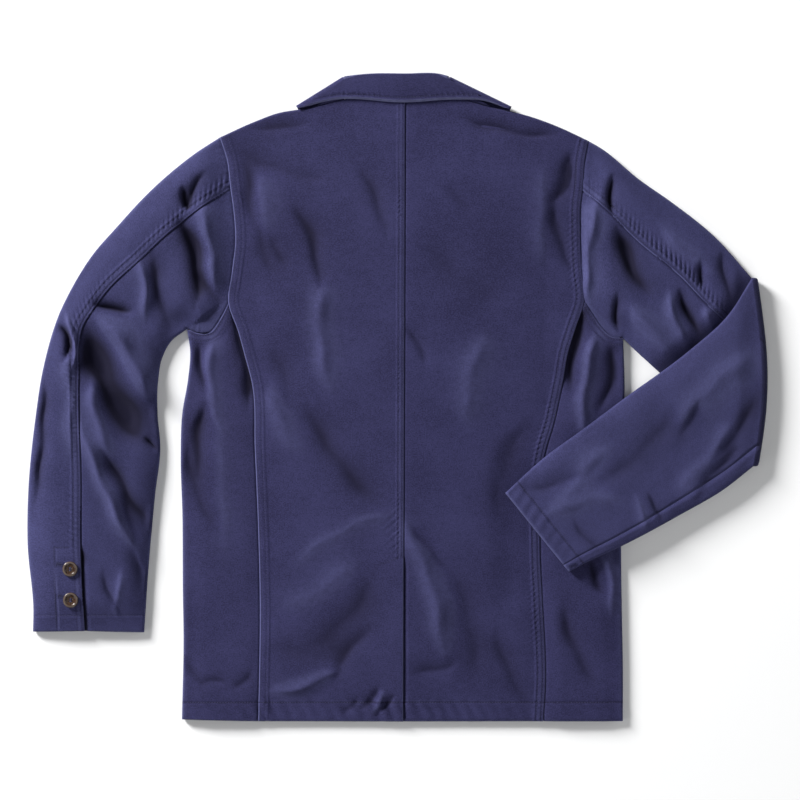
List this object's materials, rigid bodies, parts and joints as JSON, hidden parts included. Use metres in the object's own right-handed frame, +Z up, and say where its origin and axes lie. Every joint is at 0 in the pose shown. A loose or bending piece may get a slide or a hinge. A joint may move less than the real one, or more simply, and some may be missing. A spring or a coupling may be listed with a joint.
{
  "type": "suit jacket",
  "caption": "Men's casual suit jacket in navy cotton twill, laid flat on its front with one sleeve folded back over the back.",
  "frame": {"origin": "centre of the laid-out jacket's bounding box, on the surface that it lies on", "axes": "+X to the wearer's right, the longest side; +Y from hem to collar; +Z up from the surface, out of the jacket's back"},
  "size_m": [0.8897, 0.7791, 0.0173],
  "materials": {
    "twill": "matte, garment-dyed cotton twill with paler worn edges",
    "horn": "polished dark brown horn look"
  },
  "bodies": {
    "root": {"back_left": "twill", "back_right": "twill", "side_panel_left": "twill", "side_panel_right": "twill", "front_left": "twill", "front_right": "twill", "lapel_left": "twill", "lapel_right": "twill", "collar_stand": "twill", "collar_fall": "twill", "top_sleeve_left": "twill", "under_sleeve_left": "twill", "top_sleeve_right": "twill", "under_sleeve_right": "twill", "cuff_button_left_upper": "horn", "cuff_button_left_lower": "horn", "cuff_button_right_upper": "horn", "cuff_button_right_lower": "horn", "front_button_top": "horn", "front_button_middle": "horn", "front_button_bottom": "horn"}
  },
  "joints": []
}
